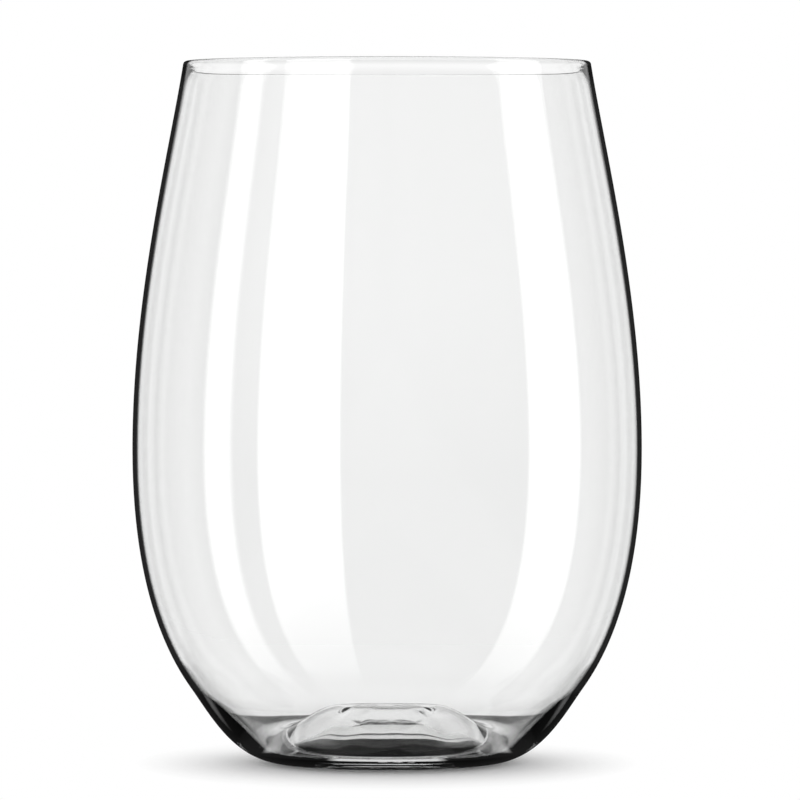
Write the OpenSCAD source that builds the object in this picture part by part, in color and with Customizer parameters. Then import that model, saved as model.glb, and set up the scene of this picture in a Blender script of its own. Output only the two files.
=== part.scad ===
// Stemless wine glass, blown in one piece of clear glass.
// Lengths are in millimetres, angles in degrees. The table is at z = 0 and
// the axis of the glass is the z axis.

/* [Bowl] */
// Height of the glass from the table to the top of the rim
glass_height = 120; // [112:1:140]
// Outside diameter of the bowl at its widest place
bowl_diameter = 87; // [80:0.5:96]
// Height of the widest place above the table
widest_height = 53.5; // [46:0.5:62]
// Outside diameter of the mouth, at the middle of the rim bead
mouth_diameter = 69.6; // [60:0.2:78]
// How far the wall still leans inwards at the rim
rim_lean = 9; // [2:0.5:16]
// Wall at the widest place and below it
wall_thickness = 0.85; // [0.6:0.05:1.6]
// Wall just below the rim bead
mouth_wall_thickness = 1.05; // [0.7:0.05:1.7]

/* [Rim] */
// Thickness of the fire polished bead at the rim
rim_thickness = 1.5; // [1:0.05:2.4]
// Height over which the wall swells into the bead
bead_height = 5; // [3:0.1:8]

/* [Base] */
// Outside diameter of the flat ring that rests on the table
foot_diameter = 35; // [32:0.5:38]
// Width of that flat ring
foot_width = 1; // [0.6:0.1:2.5]
// Outside diameter at the shoulder, where the heel turns into the bowl
shoulder_diameter = 65.9; // [62:0.1:70]
// Height of the shoulder above the table
shoulder_height = 12; // [9:0.2:15]
// Slope of the outside at the shoulder
shoulder_slope = 55.8; // [50:0.2:62]
// Height of the lowest place inside the glass above the table
floor_height = 2.5; // [2:0.1:3.4]
// How far inwards of the shoulder the ring lies along which the inside is lowest
floor_ring_inset = 11.95; // [11:0.05:14]
// Height inside at which the heel starts to leave the even wall
heel_start_height = 18; // [15:0.5:26]
// Height of the kick up in the middle of the floor above the table
kick_up_height = 8.8; // [7.8:0.1:10.4]
// Diameter of the nearly flat top of the kick up
kick_up_diameter = 16; // [10:0.5:20]
// Depth of the hollow under the glass
punt_depth = 6.4; // [4:0.1:6.8]
// Slope of the wall of the hollow where it meets the flat ring
punt_slope = 27; // [10:1:40]

/* [Hidden] */
// Reach of each curve's handles, as shares of the run that the curve covers.
foot_reach_share = 0.511;
shoulder_below_share = 0.395;
shoulder_above_share = 0.084;
widest_below_share = 0.677;
widest_above_share = 0.394;
rim_reach_share = 0.219;
heel_top_share = 0.385;
heel_floor_share = 0.234;
kick_up_foot_share = 0.454;
kick_up_top_share = 0.269;
kick_up_crown_share = 0.01;
punt_top_share = 0.424;
punt_foot_share = 0.364;

// Directions of travel along the outline.
outwards = 0;
upwards = 90;
inwards = 180;

// Steps along each curve of the outline, and round the axis.
short_curve_steps = 16;
long_curve_steps = 32;
bead_steps = 20;
turn_steps = 180;

bowl_radius = bowl_diameter / 2;
foot_radius = foot_diameter / 2;
foot_inner_radius = foot_radius - foot_width;
shoulder_radius = shoulder_diameter / 2;
floor_ring_radius = shoulder_radius - floor_ring_inset;
kick_up_radius = kick_up_diameter / 2;
bead_radius = rim_thickness / 2;

glass_color = [0.86, 0.91, 0.9, 0.55];

// Corners that the curves of the outline run between, as [radius, height].
foot_edge = [foot_radius, 0];
shoulder = [shoulder_radius, shoulder_height];
widest = [bowl_radius, widest_height];
rim_outside = [mouth_diameter / 2, glass_height - bead_radius];
floor_low = [floor_ring_radius, floor_height];
kick_up_edge = [kick_up_radius, kick_up_height];
kick_up_middle = [0, kick_up_height * (1 + kick_up_crown_share)];
punt_top = [0, punt_depth];
punt_edge = [foot_inner_radius, 0];

function toward(angle) = [cos(angle), sin(angle)];
function mix(a, b, t) = a + (b - a) * t;
function portion(x) = min(1, max(0, x));

// A curve leaves its start along one direction and reaches its end along
// another. Its four guide points are the ends and the tips of two handles.
function handles(start, start_angle, start_reach, end, end_angle, end_reach) = [
    start,
    start + start_reach * toward(start_angle),
    end - end_reach * toward(end_angle),
    end
];
function first_mix(h, t) = mix(mix(h[0], h[1], t), mix(h[1], h[2], t), t);
function last_mix(h, t) = mix(mix(h[1], h[2], t), mix(h[2], h[3], t), t);
function on_curve(h, t) = mix(first_mix(h, t), last_mix(h, t), t);
function heading(h, t) = last_mix(h, t) - first_mix(h, t);
function run(h, steps) = [for (i = [1:steps]) on_curve(h, i / steps)];

heel_rise = handles(
    foot_edge, outwards, foot_reach_share * (shoulder_radius - foot_radius),
    shoulder, shoulder_slope, shoulder_below_share * (shoulder_radius - foot_radius)
);
bowl_rise = handles(
    shoulder, shoulder_slope, shoulder_above_share * (widest_height - shoulder_height),
    widest, upwards, widest_below_share * (widest_height - shoulder_height)
);
mouth_rise = handles(
    widest, upwards, widest_above_share * (glass_height - widest_height),
    rim_outside, upwards + rim_lean, rim_reach_share * (glass_height - widest_height)
);

// The inside follows the outside at the thickness of the wall there.
function mouth_portion(z) = portion((z - widest_height) / (glass_height - widest_height));
function bead_portion(z) = portion(1 - (glass_height - z) / bead_height);
function wall_at(z) =
    mix(wall_thickness, mouth_wall_thickness, pow(mouth_portion(z), 2))
    + (rim_thickness - mouth_wall_thickness) * pow(bead_portion(z), 3);
function inner_point(h, t) =
    let (p = on_curve(h, t), d = heading(h, t))
    p + wall_at(p[1]) * [-d[1], d[0]] / norm(d);
function inner_run(h, steps, low_height) = [
    for (i = [steps:-1:0]) let (p = inner_point(h, i / steps)) if (p[1] > low_height) p
];

mouth_inside = inner_run(mouth_rise, long_curve_steps, widest_height);
bowl_inside = inner_run(bowl_rise, long_curve_steps, heel_start_height);
rim_inside = mouth_inside[0];
heel_top = bowl_inside[len(bowl_inside) - 1];
heel_direction = heel_top - bowl_inside[len(bowl_inside) - 2];

// The bead closes the wall with a half round.
bead_middle = (rim_outside + rim_inside) / 2;
bead_arm = rim_outside - bead_middle;
bead_start = atan2(bead_arm[1], bead_arm[0]);
bead = [
    for (i = [1:bead_steps - 1])
        bead_middle + norm(bead_arm) * toward(bead_start + i * inwards / bead_steps)
];

heel_fall = handles(
    heel_top, atan2(heel_direction[1], heel_direction[0]),
    heel_top_share * (heel_top[1] - floor_height),
    floor_low, inwards, heel_floor_share * (heel_top[0] - floor_ring_radius)
);
kick_up_rise = handles(
    floor_low, inwards, kick_up_foot_share * (floor_ring_radius - kick_up_radius),
    kick_up_edge, inwards, kick_up_top_share * (floor_ring_radius - kick_up_radius)
);
punt_fall = handles(
    punt_top, outwards, punt_top_share * foot_inner_radius,
    punt_edge, outwards - punt_slope, punt_foot_share * foot_inner_radius
);

glass_outline = concat(
    [foot_edge],
    run(heel_rise, short_curve_steps),
    run(bowl_rise, long_curve_steps),
    run(mouth_rise, long_curve_steps),
    bead,
    mouth_inside,
    bowl_inside,
    run(heel_fall, long_curve_steps),
    run(kick_up_rise, short_curve_steps),
    [kick_up_middle, punt_top],
    run(punt_fall, short_curve_steps)
);

// The whole glass: bowl, rim bead, heel, kick up and punt are one wall.
module glass_vessel() {
    color(glass_color)
        rotate_extrude($fn = turn_steps)
            polygon(glass_outline);
}

glass_vessel();
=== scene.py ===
# %% [markdown]
# # A stemless wine glass
# This lesson builds one stemless wine glass of clear glass and puts it on a
# pale studio table. The real object is a single wall of glass: bowl, rim,
# heel and the raised floor were never separate, so one surface makes all of
# it. The shape comes first, then the glass itself, then the table, the light
# and the camera. Clear glass has no colour of its own, so most of its look is
# decided by what stands around it, and the light gets the longest steps.

# %% Load the measured model
import math
from functools import reduce

import bpy
import numpy as np
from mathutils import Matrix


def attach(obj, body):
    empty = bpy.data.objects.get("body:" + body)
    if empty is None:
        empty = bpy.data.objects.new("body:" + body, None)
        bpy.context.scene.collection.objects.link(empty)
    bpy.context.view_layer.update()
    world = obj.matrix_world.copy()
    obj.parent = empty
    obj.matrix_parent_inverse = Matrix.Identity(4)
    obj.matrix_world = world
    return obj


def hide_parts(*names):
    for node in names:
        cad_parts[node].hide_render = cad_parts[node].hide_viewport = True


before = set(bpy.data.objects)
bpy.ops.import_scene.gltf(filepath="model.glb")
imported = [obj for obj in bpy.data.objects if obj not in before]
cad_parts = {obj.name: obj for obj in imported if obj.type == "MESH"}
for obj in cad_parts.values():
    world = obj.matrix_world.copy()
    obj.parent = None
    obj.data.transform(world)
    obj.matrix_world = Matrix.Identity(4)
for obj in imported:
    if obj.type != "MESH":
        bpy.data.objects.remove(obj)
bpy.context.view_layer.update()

# %% [markdown]
# ## Sizes
# A glassmaker would write these sizes on the drawing of the mould and of the
# rim. They are in millimetres, and each pair is a radius and a height on one
# side of the glass, because a round object only needs half a section. The
# same numbers drive the measured model, so the two agree without any fitting.

# %% Sizes of the glass
GLASS_HEIGHT = 120.0
FOOT_EDGE = (17.5, 0.0)
FOOT_INNER_EDGE = (16.5, 0.0)
SHOULDER = (32.95, 12.0)
SHOULDER_SLOPE = 55.8
WIDEST = (43.5, 53.5)
RIM_THICKNESS = 1.5
RIM_OUTSIDE = (34.8, GLASS_HEIGHT - RIM_THICKNESS / 2)
RIM_LEAN = 9.0
BEAD_HEIGHT = 5.0
WALL = 0.85
MOUTH_WALL = 1.05
HEEL_START = 18.0
FLOOR_LOW = (21.0, 2.5)
KICK_UP_EDGE = (8.0, 8.8)
KICK_UP_MIDDLE = (0.0, 8.888)
PUNT_TOP = (0.0, 6.4)
PUNT_SLOPE = 27.0
print("bowl", 2 * WIDEST[0], "mm wide,", GLASS_HEIGHT, "mm tall")

# %% [markdown]
# ## One curve for every stretch of the section
# Each stretch of the section is a cubic Bezier curve. Such a curve leaves its
# first point in one direction and reaches its last point in another, and two
# lengths, the reaches, say how stubbornly it keeps to them. Hand-placed
# points could do the same, but they would need dozens of numbers, and every
# small kink shows in glass as a wrinkle in the refracted background.

# %% A curve between two points
def curve(start, leaving, first_reach, end, arriving, last_reach, steps):
    """Points of a cubic Bezier curve, the start left out.

    With a, b, c, d as the start, the tip of the first handle, the tip of the
    last handle and the end, the point at t is
    (1-t)^3 a + 3 (1-t)^2 t b + 3 (1-t) t^2 c + t^3 d.
    """
    def heading(angle):
        """Unit arrow at an angle in degrees: cosine outwards, sine upwards."""
        return np.array([math.cos(math.radians(angle)), math.sin(math.radians(angle))])

    a, d = np.array(start), np.array(end)
    b = a + first_reach * heading(leaving)
    c = d - last_reach * heading(arriving)
    t = np.arange(1, steps + 1)[:, None] / steps
    s = 1 - t
    return s**3 * a + 3 * s**2 * t * b + 3 * s * t**2 * c + t**3 * d


# %% [markdown]
# ## The outside, from the foot to the rim
# The heel swings out from the foot ring to the shoulder, the bowl rises to
# its widest place at less than half the height, and the mouth closes in
# again. Three curves join with a shared direction at each joint, so the
# reflection of a window runs over them without a break.

# %% Outside of the glass
OUTWARDS, UPWARDS, INWARDS = 0.0, 90.0, 180.0
HEEL_ROWS, BOWL_ROWS, MOUTH_ROWS = 36, 32, 52
FOOT_REACH, SHOULDER_BELOW_REACH = 7.9, 6.1
SHOULDER_ABOVE_REACH, WIDEST_BELOW_REACH = 3.5, 28.1
WIDEST_ABOVE_REACH, RIM_REACH = 26.2, 14.6

heel = curve(
    FOOT_EDGE, OUTWARDS, FOOT_REACH,
    SHOULDER, SHOULDER_SLOPE, SHOULDER_BELOW_REACH, HEEL_ROWS)
bowl = curve(
    SHOULDER, SHOULDER_SLOPE, SHOULDER_ABOVE_REACH,
    WIDEST, UPWARDS, WIDEST_BELOW_REACH, BOWL_ROWS)
mouth = curve(
    WIDEST, UPWARDS, WIDEST_ABOVE_REACH,
    RIM_OUTSIDE, UPWARDS + RIM_LEAN, RIM_REACH, MOUTH_ROWS)
outside = np.vstack([[FOOT_EDGE], heel, bowl, mouth])
print("outside:", len(outside), "rows, largest radius", outside[:, 0].max(), "mm")

# %% [markdown]
# ## The inside, and the bead that closes the wall
# A blown wall is nearly even, so the inside is the outside pushed inwards by
# the thickness, at right angles to the surface. Towards the mouth the wall
# thickens by the square of the height, and in the last few millimetres it
# grows into a bead, which is what a flame leaves when it melts a cut edge.

# %% Inside of the wall
heading_along = np.gradient(outside, axis=0)
heading_along /= np.linalg.norm(heading_along, axis=1)[:, None]
into_the_glass = np.stack([-heading_along[:, 1], heading_along[:, 0]], axis=1)

height = outside[:, 1]
mouth_portion = np.clip((height - WIDEST[1]) / (GLASS_HEIGHT - WIDEST[1]), 0, 1)
bead_portion = np.clip(1 - (GLASS_HEIGHT - height) / BEAD_HEIGHT, 0, 1)
wall = WALL + (MOUTH_WALL - WALL) * mouth_portion**2
wall += (RIM_THICKNESS - MOUTH_WALL) * bead_portion**3
inside = (outside + into_the_glass * wall[:, None])[height > HEEL_START][::-1]
print("wall from", wall.min(), "to", wall.max(), "mm")

# %% Half round of the rim bead
BEAD_ROWS = 20

bead_middle = (outside[-1] + inside[0]) / 2
bead_arm = outside[-1] - bead_middle
half_turn = np.linspace(0, np.pi, BEAD_ROWS + 1)[1:-1]
bead_angle = np.arctan2(bead_arm[1], bead_arm[0]) + half_turn
bead_arrow = np.stack([np.cos(bead_angle), np.sin(bead_angle)], axis=1)
bead = bead_middle + np.linalg.norm(bead_arm) * bead_arrow
print("top of the bead:", bead[:, 1].max(), "mm")

# %% [markdown]
# ## The floor, the kick-up and the punt
# Inside, the wall swings down to the lowest ring of the floor and then climbs
# to a low dome, the kick-up. Under it the foot is hollowed into the punt, so
# the glass rests on a ring and doesn't rock. These few millimetres bend the
# light more than all the rest, and the dark lens that one sees at the foot of
# the real glass is the table under the punt, seen through them.

# %% Inside of the base
FLOOR_ROWS, DOME_ROWS, CROWN_ROWS = 40, 40, 8
HEEL_TOP_REACH, FLOOR_OUTER_REACH = 6.15, 3.5
FLOOR_INNER_REACH, KICK_UP_REACH = 5.9, 3.5
CROWN_REACH = 2.0

fall = inside[-1] - inside[-2]
fall_angle = math.degrees(math.atan2(fall[1], fall[0]))
heel_fall = curve(
    inside[-1], fall_angle, HEEL_TOP_REACH,
    FLOOR_LOW, INWARDS, FLOOR_OUTER_REACH, FLOOR_ROWS)
kick_up = curve(
    FLOOR_LOW, INWARDS, FLOOR_INNER_REACH,
    KICK_UP_EDGE, INWARDS, KICK_UP_REACH, DOME_ROWS)
crown = curve(
    KICK_UP_EDGE, INWARDS, CROWN_REACH,
    KICK_UP_MIDDLE, INWARDS, CROWN_REACH, CROWN_ROWS)
print("the inner wall falls at", round(fall_angle, 1), "degrees where the heel starts")

# %% Underside, and the whole section
PUNT_ROWS, FOOT_ROWS = 36, 4
PUNT_TOP_REACH, PUNT_EDGE_REACH = 7.0, 6.0

punt = curve(
    PUNT_TOP, OUTWARDS, PUNT_TOP_REACH,
    FOOT_INNER_EDGE, OUTWARDS - PUNT_SLOPE, PUNT_EDGE_REACH, PUNT_ROWS)
foot_ring = np.linspace(FOOT_INNER_EDGE, FOOT_EDGE, FOOT_ROWS + 1)[1:-1]

# One run round the section: up the outside, over the rim and down the inside.
underside = np.vstack([[PUNT_TOP], punt, foot_ring])
section = np.vstack([underside, outside, bead, inside, heel_fall, kick_up, crown])
print("section:", len(section), "rows from the middle of the punt to the kick-up")

# %% [markdown]
# ## Turn the section round the axis
# A body of revolution is a function of two parameters: the row along the
# section and the angle round the axis. Blender's Screw modifier does the
# same, but with the grid in hand every row can be made slightly uneven
# afterwards. The two ends of the section lie on the axis, and there a whole
# ring of points would fall together, so each pole is one single point.

# %% Surface of revolution
COLUMNS = 256


def turned(section, columns):
    """Grid of points: x = r cos(a), y = r sin(a), z = z, for r and z of each row."""
    angle = np.arange(columns) * 2 * np.pi / columns
    radius, level = section[:, :1], section[:, 1:]
    x, y = radius * np.cos(angle), radius * np.sin(angle)
    return np.stack(np.broadcast_arrays(x, y, level), axis=-1), angle


grid, angle = turned(section[1:-1], COLUMNS)
print("grid of", grid.shape[0], "rows and", grid.shape[1], "columns")

# %% [markdown]
# ## The unevenness of real glass
# Glass that was shaped hot is never a perfect body of revolution. The floor
# and the punt, which stay hot longest, end up a few hundredths of a
# millimetre uneven, and that is enough to make the fine dark and light lines
# in the foot waver. The waves are sums of sines round the axis, so they close
# on themselves, and they fade out before the outline and the foot ring.

# %% Waves in the floor and the punt
FLOOR_WAVE, PUNT_WAVE = 0.09, 0.07
CALM_MIDDLE = 4.0
FLOOR_FADE = (15.0, 24.0)
PUNT_FADE = (12.0, FOOT_INNER_EDGE[0])


def smooth_step(low, high, value):
    """0 below low, 1 above high and 3x^2 - 2x^3 of the portion x between."""
    x = np.clip((value - low) / (high - low), 0, 1)
    return x * x * (3 - 2 * x)


def waves(angle, lobes, phases):
    """Mean of sin(n a + p) over the given numbers of lobes n and phases p."""
    return np.mean([np.sin(n * angle + p) for n, p in zip(lobes, phases)], axis=0)


row = np.arange(len(grid))[:, None]
in_punt = row < PUNT_ROWS
in_floor = row > len(section) - FLOOR_ROWS - DOME_ROWS - CROWN_ROWS
radius = np.hypot(grid[..., 0], grid[..., 1])
beyond_middle = smooth_step(0.0, CALM_MIDDLE, radius)
within_floor = beyond_middle * (1 - smooth_step(*FLOOR_FADE, radius))
within_punt = beyond_middle * (1 - smooth_step(*PUNT_FADE, radius))
floor_waves = FLOOR_WAVE * waves(angle, (2, 3, 5, 9), (0.4, 2.3, 4.1, 1.2))
punt_waves = PUNT_WAVE * waves(angle, (1, 4, 7, 11), (1.9, 0.3, 3.2, 5.0))
grid[..., 2] += np.where(in_punt, within_punt * punt_waves, 0)
grid[..., 2] += np.where(in_floor, within_floor * floor_waves, 0)
print("largest wave:", float(np.abs(floor_waves).max()), "mm")

# %% [markdown]
# ## Put the surface into a mesh
# The points go in as one table and the faces as another. Smooth shading lets
# the renderer bend light by the rounded normal and not by each flat face. The
# signed volume is a cheap test: it is positive only when every face looks out
# of the glass, and glass turned inside out refracts wrongly.

# %% Faces between the rings and at the poles
def closed_faces(rows, columns):
    """Quads between neighbouring rings, and a fan of triangles at each pole.

    Point 0 is the first pole, then the rings follow one after another, and
    the last point is the other pole. The order of corners turns each face
    away from the glass.
    """
    here = np.arange(columns)
    after = (here + 1) % columns
    start = 1 + columns * np.arange(rows - 1)[:, None]
    above_it = start + columns
    quads = np.stack([start + here, start + after, above_it + after, above_it + here], axis=-1)
    first, last = 1 + here, 1 + columns * (rows - 1) + here
    pole = 1 + columns * rows
    first_fan = np.stack([np.zeros_like(here), first[after], first], axis=-1)
    last_fan = np.stack([last, last[after], np.full_like(here, pole)], axis=-1)
    return quads.reshape(-1, 4).tolist() + first_fan.tolist() + last_fan.tolist()


faces = closed_faces(len(grid), COLUMNS)
print("faces:", len(faces))

# %% Mesh of the glass
MILLIMETRE = 0.001

first_pole = [(0, 0, section[0, 1])]
last_pole = [(0, 0, section[-1, 1])]
points = np.vstack([first_pole, grid.reshape(-1, 3), last_pole]) * MILLIMETRE
mesh = bpy.data.meshes.new("wine_glass")
mesh.from_pydata(points.tolist(), [], faces)
mesh.polygons.foreach_set("use_smooth", np.ones(len(mesh.polygons), dtype=bool))
mesh.update()
wine_glass = bpy.data.objects.new("wine_glass", mesh)
bpy.context.scene.collection.objects.link(wine_glass)

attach(wine_glass, "root")
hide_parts("glass_vessel")
print("points:", len(mesh.vertices))

# %% Volume, to see that the faces look outwards
CUBIC_CENTIMETRE = 1e-6

mesh.calc_loop_triangles()
corners = np.empty(len(mesh.loop_triangles) * 3, dtype=np.int64)
mesh.loop_triangles.foreach_get("vertices", corners)
a, b, c = points[corners.reshape(-1, 3)].transpose(1, 0, 2)
volume = float(np.einsum("ij,ij->i", a, np.cross(b, c)).sum() / 6)
print("triangles:", len(mesh.loop_triangles))
print("volume in cubic centimetres:", round(volume / CUBIC_CENTIMETRE, 2))

# %% [markdown]
# ## Formulas made of nodes
# Materials and the world are built from nodes. Writing each node by hand
# hides the idea behind the wiring, so this small helper writes a formula as
# Math nodes. A portion is a number from 0 to 1: a product of portions means
# that all of them have to hold, and the largest means that any one will do.

# %% Helper for formulas
class Formula:
    """Writes arithmetic as Math nodes; inputs are numbers or nodes' outputs."""

    def __init__(self, tree):
        self.tree = tree

    def maths(self, operation, *inputs, clamp=False):
        """One Math node: applies the operation to the inputs."""
        node = self.tree.nodes.new("ShaderNodeMath")
        node.operation = operation
        node.use_clamp = clamp
        for socket, value in zip(node.inputs, inputs):
            if isinstance(value, (int, float)):
                socket.default_value = value
            else:
                self.tree.links.new(value, socket)
        return node.outputs[0]

    def total(self, *values):
        """Sum of the values."""
        return reduce(lambda so_far, value: self.maths("ADD", so_far, value), values)

    def product(self, *values):
        """Product of the values: all of the portions have to hold."""
        return reduce(lambda so_far, value: self.maths("MULTIPLY", so_far, value), values)

    def largest(self, *values):
        """Largest of the values: any one of the portions will do."""
        return reduce(lambda so_far, value: self.maths("MAXIMUM", so_far, value), values)

    def rest(self, portion):
        """What is left of 1: 1 - portion."""
        return self.maths("SUBTRACT", 1.0, portion)

    def ramp(self, value, start, end):
        """Portion of the way: (value - start) / (end - start), kept within 0 and 1.

        It rises where the end is larger than the start, and falls where it is smaller.
        """
        way = end - start
        return self.maths("MULTIPLY_ADD", value, 1 / way, -start / way, clamp=True)


print("words of a formula:", [word for word in vars(Formula) if not word.startswith("_")])

# %% [markdown]
# ## The glass
# Soda-lime glass bends light by an index near 1.5 and swallows a little red
# and blue, which shows only where light travels along the wall. A perfectly
# even surface looks like computer glass. The real one carries faint upright
# draw marks from the blowing and a film so thin that it only softens some
# reflections, and both come from noise stretched along the axis.

# %% Material of the glass
GLASS_TINT = (0.998, 1.0, 0.998, 1.0)
GLASS_INDEX = 1.5

clear_glass = bpy.data.materials.new("clear_glass")
clear_glass.use_nodes = True
tree = clear_glass.node_tree
shader = tree.nodes["Principled BSDF"]
shader.inputs["Base Color"].default_value = GLASS_TINT
shader.inputs["Transmission Weight"].default_value = 1.0
shader.inputs["IOR"].default_value = GLASS_INDEX
wine_glass.data.materials.append(clear_glass)
print("materials:", [m.name for m in wine_glass.data.materials])

# %% Draw marks and film
DRAW_MARK_STRETCH = (220.0, 220.0, 14.0)
DRAW_MARK_STRENGTH, DRAW_MARK_DEPTH = 0.02, 0.0002
FILM_MEAN = 0.5
FILM_ROUGHNESS = 0.04


def noise(place, fineness, detail):
    """Brightness of a noise texture at the place."""
    node = tree.nodes.new("ShaderNodeTexNoise")
    node.inputs["Scale"].default_value = fineness
    node.inputs["Detail"].default_value = detail
    tree.links.new(place, node.inputs["Vector"])
    return node.outputs["Fac"]


place = tree.nodes.new("ShaderNodeTexCoord")
upright = tree.nodes.new("ShaderNodeMapping")
upright.inputs["Scale"].default_value = DRAW_MARK_STRETCH
tree.links.new(place.outputs["Object"], upright.inputs["Vector"])
ripple = tree.nodes.new("ShaderNodeBump")
ripple.inputs["Strength"].default_value = DRAW_MARK_STRENGTH
ripple.inputs["Distance"].default_value = DRAW_MARK_DEPTH
draw_marks = noise(upright.outputs["Vector"], fineness=1.0, detail=2.0)
tree.links.new(draw_marks, ripple.inputs["Height"])
tree.links.new(ripple.outputs["Normal"], shader.inputs["Normal"])

in_material = Formula(tree)
film = noise(place.outputs["Object"], fineness=60.0, detail=3.0)
film_portion = in_material.maths("SUBTRACT", film, FILM_MEAN, clamp=True)
tree.links.new(in_material.product(film_portion, FILM_ROUGHNESS), shader.inputs["Roughness"])
print("nodes in the glass:", len(tree.nodes))

# %% [markdown]
# ## The history of a ray
# In a studio, black cards, pale panels and a white sweep stand so close round
# a glass that each part of it mirrors or bends in a different one of them.
# Real cards would stand in the camera's way, so here the table and the world
# ask what has happened to the ray that meets them. Blender's Light Path node
# counts it: the Transmission Depth is the number of glass surfaces that the
# ray has passed, two for each wall, the Glossy Depth counts reflections, and
# the Diffuse Depth counts scattering by the table.

# %% Helper that knows the ray's history
PASSED, MIRRORED, SCATTERED = "Transmission Depth", "Glossy Depth", "Diffuse Depth"


class RayFormula(Formula):
    """Formula that can also ask what has happened to the ray so far."""

    def __init__(self, tree):
        super().__init__(tree)
        self.path = tree.nodes.new("ShaderNodeLightPath")

    def at_least(self, event, count):
        """1 when the event has happened that many times or more, else 0."""
        return self.maths("GREATER_THAN", self.path.outputs[event], count - 0.5)

    def is_ray(self, kind):
        """1 for a ray of the kind Camera, Glossy or Transmission, else 0."""
        return self.path.outputs["Is " + kind + " Ray"]


WALL_SURFACES = 2
print("both walls together have", 2 * WALL_SURFACES, "surfaces")

# %% [markdown]
# ## The table
# A plain white table with no visible end. Two marks of painted shade on it are seen only through
# the glass. One is a black disc under the foot, which stands in for the shade under the punt and
# fills the dark lens. The other is a dark ring round it, a painted shadow of the heel, which draws
# the dark line between the heel and the bowl. The camera never sees them directly. The light table
# is the last step of this chapter.

# %% Table top, and places on it in millimetres
TABLE_SIZE = 40.0
FADE = 1.0

bpy.ops.mesh.primitive_plane_add(size=TABLE_SIZE)
table = bpy.context.object
table.name = "table"
# The white table also carries painted shade, which only rays through the glass see.
white_table_with_painted_shade = bpy.data.materials.new("white_table_with_painted_shade")
white_table_with_painted_shade.use_nodes = True
tree = white_table_with_painted_shade.node_tree
tree.nodes.clear()
ray = RayFormula(tree)
spot = tree.nodes.new("ShaderNodeTexCoord")


def stretched_spot(across, along):
    """Place on the table in millimetres, stretched across and along the view."""
    node = tree.nodes.new("ShaderNodeVectorMath")
    node.operation = "MULTIPLY"
    node.inputs[1].default_value = (across / MILLIMETRE, along / MILLIMETRE, 0.0)
    tree.links.new(spot.outputs["Object"], node.inputs[0])
    return node.outputs["Vector"]


def length(vector):
    """Length of the vector, the square root of x^2 + y^2."""
    node = tree.nodes.new("ShaderNodeVectorMath")
    node.operation = "LENGTH"
    tree.links.new(vector, node.inputs[0])
    return node.outputs["Value"]


def disc(radius, fade=FADE):
    """1 nearer to the axis than the radius and 0 beyond it."""
    return ray.ramp(from_axis, radius + fade / 2, radius - fade / 2)


spot_in_millimetres = stretched_spot(1.0, 1.0)
from_axis = length(spot_in_millimetres)
print("table:", TABLE_SIZE, "metres wide")

# %% Histories that the table tells apart
bounced = ray.at_least(MIRRORED, 1)
unbounced = ray.rest(bounced)
in_glass = ray.at_least(PASSED, 1)
both_walls = ray.at_least(PASSED, 2 * WALL_SURFACES)
through_foot = ray.at_least(PASSED, 3 * WALL_SURFACES)
along_the_foot = ray.at_least(PASSED, 4 * WALL_SURFACES)
straight_on = ray.product(unbounced, both_walls)
trapped = ray.product(both_walls, ray.at_least(MIRRORED, 4))
print("nodes in the table so far:", len(tree.nodes))

# %% Painted shade: black disc and ring, for rays that came straight through both walls
SHADE_DISC_RADIUS, SHADE_DISC_FADE = 16.8, 0.4
RING_INNER_RADIUS, RING_BLACK_RADIUS, RING_OUTER_RADIUS = 20.8, 26.3, 32.8
PAINTED_RING_SHADE = 0.92

# Painted shade under the punt: a black disc, seen only through both walls.
painted_shade_under_foot = ray.product(disc(SHADE_DISC_RADIUS, SHADE_DISC_FADE), straight_on)
# Painted shadow of the heel: a ring that darkens outwards and ends sharply.
growing = ray.ramp(from_axis, RING_INNER_RADIUS, RING_BLACK_RADIUS)
painted_heel_shadow = ray.product(growing, disc(RING_OUTER_RADIUS), straight_on, PAINTED_RING_SHADE)
print("ring", RING_OUTER_RADIUS - RING_INNER_RADIUS, "mm wide")

# %% [markdown]
# ### Painted shade for the rays that bounced in the heel
# Rays that were mirrored inside the heel come down close to the foot. There the table is painted
# black, a painted shade that makes the heel black. Three gaps in the painted shade, one on each
# side and one in front, leave the pale table. They light the patches beside the lens and the pale
# ellipse under it.

# %% Painted shade under the heel, with gaps
# Radii of the painted shade under the heel, and of the gaps in it.
HEEL_SHADE_RADIUS, WIDE_HEEL_SHADE_RADIUS = 25.6, 30.0
SIDE_OPENING_FROM, SIDE_OPENING_TO = 17.0, 22.2
SIDE_OPENING_RADIUS, SIDE_OPENING_FADE = 23.9, 1.2
FRONT_OPENING_HALF_WIDTH, FRONT_OPENING_STARTS, FRONT_OPENING_SOFTNESS = 9.5, 13.0, 2.0
FRONT_OPENING_RADIUS, FRONT_OPENING_FADE = 22.4, 0.8

apart = tree.nodes.new("ShaderNodeSeparateXYZ")
tree.links.new(spot_in_millimetres, apart.inputs[0])
sideways = ray.maths("ABSOLUTE", apart.outputs["X"])
forwards = ray.product(apart.outputs["Y"], -1.0)


def rising_at(value, place, softness):
    """Ramp from 0 to 1 that is half way at the place."""
    return ray.ramp(value, place - softness / 2, place + softness / 2)


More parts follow.
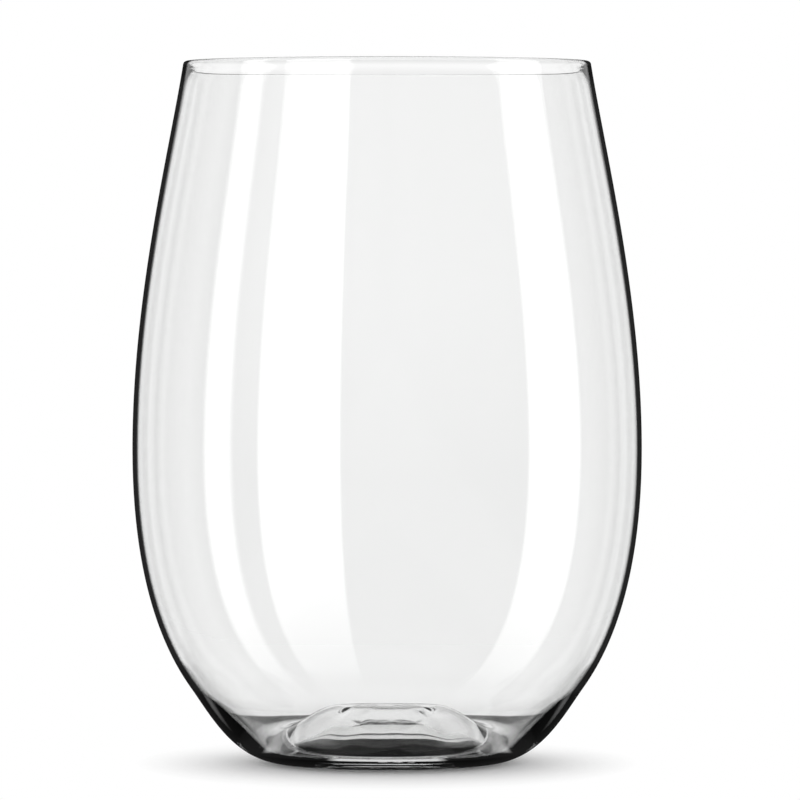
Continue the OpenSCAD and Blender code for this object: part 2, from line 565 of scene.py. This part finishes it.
side_shade_gap = ray.product(
    rising_at(sideways, SIDE_OPENING_FROM, FADE),
    ray.rest(rising_at(sideways, SIDE_OPENING_TO, FADE)),
    ray.rest(disc(SIDE_OPENING_RADIUS, SIDE_OPENING_FADE)))
front_shade_gap = ray.product(
    rising_at(forwards, FRONT_OPENING_STARTS, FRONT_OPENING_SOFTNESS),
    ray.rest(rising_at(sideways, FRONT_OPENING_HALF_WIDTH, FRONT_OPENING_SOFTNESS)),
    disc(FRONT_OPENING_RADIUS, FRONT_OPENING_FADE))
few_surfaces = ray.rest(both_walls)
shade_gap = ray.product(ray.largest(side_shade_gap, front_shade_gap), few_surfaces)
# Painted shade under the heel for mirrored rays: black within these radii, except in the gaps.
painted_heel_shade_area = ray.largest(
    ray.product(disc(HEEL_SHADE_RADIUS), ray.rest(through_foot)),
    ray.product(disc(WIDE_HEEL_SHADE_RADIUS), few_surfaces))
painted_shade_under_heel = ray.product(painted_heel_shade_area, ray.rest(shade_gap), bounced, ray.rest(trapped))
print("nodes in the table so far:", len(tree.nodes))

# %% [markdown]
# ### What the table is made of
# For the eye the table is matt round the foot, where it takes the shadow. Farther out it turns
# into a light table, which makes the background pure white. Rays in the glass see it glow evenly
# near the foot, a painted light in place of the shadow, which would turn the whole foot dark.
# Mirrored rays farther out fall through it and see the dark room. The painted shade of the disc,
# the ring and the heel darkens the matt and the glowing table alike.

# %% Matt, glowing and open table
PAINTED_SHADE_DEPTH = 0.99
PALE_LIGHT = 0.85
NEAR_RADIUS, NEAR_FADE = 40.0, 4.0

# Painted shade: the disc, the ring, the shade under the heel, and black for every ray that passed
# eight surfaces or more.
painted_shade_portion = ray.largest(painted_shade_under_foot, painted_shade_under_heel, painted_heel_shadow, along_the_foot)
shade = ray.rest(ray.product(painted_shade_portion, PAINTED_SHADE_DEPTH))
painted_shade_colour = tree.nodes.new("ShaderNodeCombineColor")
for socket in painted_shade_colour.inputs[:3]:
    tree.links.new(shade, socket)
matt = tree.nodes.new("ShaderNodeBsdfDiffuse")
tree.links.new(painted_shade_colour.outputs["Color"], matt.inputs["Color"])
open_air = tree.nodes.new("ShaderNodeBsdfTransparent").outputs["BSDF"]
# Painted glow: near the foot, rays in the glass see the table glow instead of the shadow, dimmed
# by the same painted shade.
glow = tree.nodes.new("ShaderNodeEmission")
tree.links.new(ray.product(shade, PALE_LIGHT), glow.inputs["Strength"])


def mixed(portion, first, second):
    """Mix Shader: (1 - portion) of the first and the portion of the second."""
    node = tree.nodes.new("ShaderNodeMixShader")
    for socket, value in zip(node.inputs, (portion, first, second)):
        tree.links.new(value, socket)
    return node.outputs["Shader"]


near_by = ray.product(disc(NEAR_RADIUS, NEAR_FADE), in_glass)
matt_or_open = mixed(bounced, matt.outputs["BSDF"], open_air)
table_surface = mixed(near_by, matt_or_open, glow.outputs["Emission"])
print("the table glows within", NEAR_RADIUS, "mm for rays in the glass")

# %% Light table round the shadow, and no table from below
SHADOW_SQUEEZE = 1.4
SHADOW_STARTS_TO_FADE, SHADOW_GONE = 26.0, 60.0
FAR_STARTS, FAR_REACHED = 100.0, 300.0

from_shadow = length(stretched_spot(SHADOW_SQUEEZE, 1.0))
round_shadow = ray.ramp(from_shadow, SHADOW_STARTS_TO_FADE, SHADOW_GONE)
far_off = ray.ramp(from_shadow, FAR_STARTS, FAR_REACHED)
lit = ray.largest(
    ray.product(round_shadow, ray.is_ray("Camera")),
    ray.product(far_off, straight_on))
light_table = tree.nodes.new("ShaderNodeEmission")
seen_from_above = mixed(lit, table_surface, light_table.outputs["Emission"])

side = tree.nodes.new("ShaderNodeNewGeometry")
surface = tree.nodes.new("ShaderNodeOutputMaterial")
from_either_side = mixed(side.outputs["Backfacing"], seen_from_above, open_air)
tree.links.new(from_either_side, surface.inputs["Surface"])
table.data.materials.append(white_table_with_painted_shade)
print("nodes in the table:", len(tree.nodes))

# %% [markdown]
# ## The light
# Glass is photographed in a bright field: a lit white sweep stands behind it
# and the rest of the room is dark. Light that goes nearly straight through
# the walls meets the sweep and stays white. Light that is bent or mirrored
# far off meets the dark room and draws the black edges. Tall soft boxes at
# the sides put the upright white stripes on the bowl. All of it is painted on
# the world, in degrees round and above the glass, so it needs no lamps.

# %% Directions round and above the glass
DEGREES = 180 / math.pi

world = bpy.data.worlds.new("studio")
bpy.context.scene.world = world
world.use_nodes = True
tree = world.node_tree
tree.nodes.clear()
ray = RayFormula(tree)

direction = tree.nodes.new("ShaderNodeTexCoord")
split = tree.nodes.new("ShaderNodeSeparateXYZ")
tree.links.new(direction.outputs["Generated"], split.inputs[0])
towards_viewer = ray.product(split.outputs["Y"], -1.0)
around = ray.product(ray.maths("ARCTAN2", split.outputs["X"], towards_viewer), DEGREES)
above = ray.product(ray.maths("ARCSINE", split.outputs["Z"]), DEGREES)
# 0 straight behind the glass, 90 at its sides and 180 where the viewer stands.
off_axis = ray.maths("SUBTRACT", 180.0, ray.maths("ABSOLUTE", around))


def window(angle, low, high, softness):
    """1 between low and high degrees, with edges that fade over the softness."""
    rise = ray.ramp(angle, low - softness / 2, low + softness / 2)
    drop = ray.ramp(angle, high + softness / 2, high - softness / 2)
    return ray.product(rise, drop)


def panel(across, upwards):
    """Panel on the world: two windows, given as low, high and softness."""
    return ray.product(window(off_axis, *across), window(above, *upwards))


print("nodes in the world so far:", len(tree.nodes))

# %% Histories that the world tells apart
bounced = ray.at_least(MIRRORED, 1)
unbounced = ray.rest(bounced)
in_glass = ray.at_least(PASSED, 1)
both_walls = ray.at_least(PASSED, 2 * WALL_SURFACES)
through_foot = ray.at_least(PASSED, 3 * WALL_SURFACES)
front_wall_only = ray.rest(ray.at_least(PASSED, WALL_SURFACES + 1))
from_table = ray.at_least(SCATTERED, 1)
from_glass = ray.rest(from_table)
print("nodes in the world so far:", len(tree.nodes))

# %% [markdown]
# ### Soft boxes
# The stripes on the bowl are mirror images of soft boxes, so only rays that
# were mirrored see them, and only at the front wall: in the back wall the
# same boxes would make a second set of stripes. Besides the boxes there is a
# dim glow on the viewer's side that grows upwards, and one at each side, and
# both lift the grey of the bowl a little.

# %% Soft boxes and the glow beside them
# Each soft box: from and to in degrees round the glass, softness, strength.
SOFT_BOXES = ((-91.0, -75.0, 3.0, 2.4), (-60.5, -21.0, 1.5, 2.4), (67.0, 98.0, 1.5, 2.4))
BOX_FOOT = (-70.0, -20.0)
BOX_TOP = (55.0, 35.0)
GLOW_PER_DEGREE, GLOW_AT_EYE_LEVEL, GLOW_LIMIT = 0.027, 0.15, 0.55
SIDE_GLOW = 0.7

all_round = ray.total(*[ray.product(window(around, *box[:3]), box[3]) for box in SOFT_BOXES])
stripes = ray.product(all_round, ray.ramp(above, *BOX_FOOT), ray.ramp(above, *BOX_TOP))
growing = ray.maths("MULTIPLY_ADD", above, GLOW_PER_DEGREE, GLOW_AT_EYE_LEVEL, clamp=True)
growing = ray.maths("MINIMUM", growing, GLOW_LIMIT)
facing = ray.product(panel(across=(100.0, 190.0, 30.0), upwards=(-30.0, 60.0, 20.0)), growing)
sides = ray.product(panel(across=(50.0, 84.0, 12.0), upwards=(-50.0, 50.0, 10.0)), SIDE_GLOW)
boxes = ray.product(ray.largest(stripes, facing, sides), front_wall_only, bounced)
print("soft boxes:", len(SOFT_BOXES))

# %% [markdown]
# ### Sweep and panels
# Rays that pass the glass without a reflection see the white sweep. Mirrored
# rays see two pale panels in its place, 25 to 50 degrees to either side, with
# the dark room between them, so that the edges and the heel don't turn all
# black. Mirrored rays through both walls also find a narrow bright strip
# straight behind the glass, and the few that were mirrored four times or more
# get an even light, because they would leave black holes in the foot.

# %% Sweep and panels behind the glass
PANEL_LIGHT = 0.8
TRAPPED_LIGHT = 0.8
DARK_ROOM = 0.02

wide_sweep = panel(across=(-10.0, 50.0, 20.0), upwards=(-5.0, 35.0, 20.0))
upper_panels = panel(across=(25.0, 50.0, 5.0), upwards=(-21.0, 50.0, 6.0))
lower_panels = panel(across=(25.0, 50.0, 5.0), upwards=(-50.0, -21.0, 6.0))
panels = ray.total(upper_panels, ray.product(lower_panels, in_glass))
strip = ray.largest(
    panel(across=(-10.0, 6.0, 4.0), upwards=(-3.0, 32.0, 4.0)),
    panel(across=(-10.0, 14.0, 4.0), upwards=(-3.0, 14.0, 4.0)))
behind_glass = ray.largest(ray.product(panels, PANEL_LIGHT), ray.product(strip, both_walls))
trapped = ray.product(ray.at_least(MIRRORED, 4), both_walls, TRAPPED_LIGHT)
for_bounced = ray.largest(ray.product(behind_glass, ray.rest(through_foot)), trapped)
sweep = ray.total(ray.product(wide_sweep, unbounced), ray.product(for_bounced, bounced))
room = ray.largest(ray.product(ray.largest(boxes, sweep), from_glass), DARK_ROOM)
print("nodes in the world so far:", len(tree.nodes))

# %% [markdown]
# ### White for the eye
# The eye sees plain white round the glass and also straight through both of
# its walls. Rays that pass six surfaces or more have gone through the foot.
# Most of them see white too, up to a slanted edge that falls by 0.4 degrees
# for each degree off the axis. Beyond it the light fades, which keeps the lens
# at the foot dark while the dome above it stays light.

# %% What the eye sees straight through the glass
SLANT = 0.4
SLANTED_EDGE = (66.0, 64.0)
STEEP_LIGHT = 0.3

straight = ray.product(ray.is_ray("Transmission"), unbounced, both_walls)
slanted = ray.maths("MULTIPLY_ADD", off_axis, SLANT, above)
behind = ray.product(window(off_axis, -10.0, 33.0, 4.0), ray.ramp(slanted, *SLANTED_EDGE))
steep = ray.product(window(slanted, 60.0, 84.0, 4.0), STEEP_LIGHT)
few_bounces = ray.rest(ray.at_least(MIRRORED, 3))
by_the_foot = ray.product(through_foot, few_bounces, ray.largest(behind, steep))
straight = ray.product(ray.largest(straight, by_the_foot), from_glass)
seen = ray.largest(straight, ray.is_ray("Camera"))
print("nodes in the world so far:", len(tree.nodes))

# %% [markdown]
# ### Light on the table
# The table is lit from all round, most strongly from the sides and from above
# and behind, so the shadow falls a little forwards. The four strengths are
# chosen so that the open table comes out exactly white. Light that reaches
# the table through the glass is dimmed, which is what makes the shadow.

# %% Light on the table, and the finished world
EVEN_LIGHT, BACK_LIGHT, FRONT_LIGHT, SIDE_LIGHT = 0.255, 1.8, 0.6, 2.0
THROUGH_GLASS = 0.4

from_behind = ray.product(window(off_axis, -60.0, 60.0, 40.0), BACK_LIGHT)
from_front = ray.product(window(off_axis, 120.0, 240.0, 40.0), FRONT_LIGHT)
overhead = ray.product(ray.total(from_behind, from_front), window(above, 40.0, 120.0, 30.0))
from_sides = ray.product(panel(across=(60.0, 110.0, 30.0), upwards=(-5.0, 45.0, 20.0)), SIDE_LIGHT)
on_table = ray.total(overhead, from_sides, EVEN_LIGHT)
at_glass = ray.largest(ray.is_ray("Glossy"), ray.is_ray("Transmission"))
reaching = ray.largest(ray.rest(at_glass), ray.product(from_table, THROUGH_GLASS))
lit_table = ray.product(on_table, reaching, ray.rest(ray.is_ray("Camera")))

background = tree.nodes.new("ShaderNodeBackground")
background.inputs["Color"].default_value = (1.0, 1.0, 1.0, 1.0)
output = tree.nodes.new("ShaderNodeOutputWorld")
tree.links.new(ray.largest(seen, lit_table, room), background.inputs["Strength"])
tree.links.new(background.outputs["Background"], output.inputs["Surface"])
print("nodes in the world:", len(tree.nodes))

# %% [markdown]
# ## The camera
# A product photographer stands well back with a long lens, so the glass shows
# almost no perspective. The eye is a little below the rim here, while the
# table is seen slightly from above. The distance follows from those two
# angles, and the lens from how much of the frame the glass fills.

# %% Camera
EYE = (0.0, -1.2, 0.0915)
AIM = (0.0022, 0.0, 0.06196)
LENS, SENSOR_WIDTH = 316.2, 36.0

camera_data = bpy.data.cameras.new("camera")
camera_data.sensor_width = SENSOR_WIDTH
camera_data.lens = LENS
camera_data.clip_end = 100.0
camera = bpy.data.objects.new("camera", camera_data)
bpy.context.scene.collection.objects.link(camera)
camera.location = EYE
across, along, down = AIM[0] - EYE[0], AIM[1] - EYE[1], EYE[2] - AIM[2]
tilt = math.atan2(down, math.hypot(across, along))
camera.rotation_euler = (math.pi / 2 - tilt, 0.0, -math.atan2(across, along))
bpy.context.scene.camera = camera
bpy.context.scene.view_settings.view_transform = "Standard"
print("camera tilted down by", round(math.degrees(tilt), 2), "degrees")

# %% [markdown]
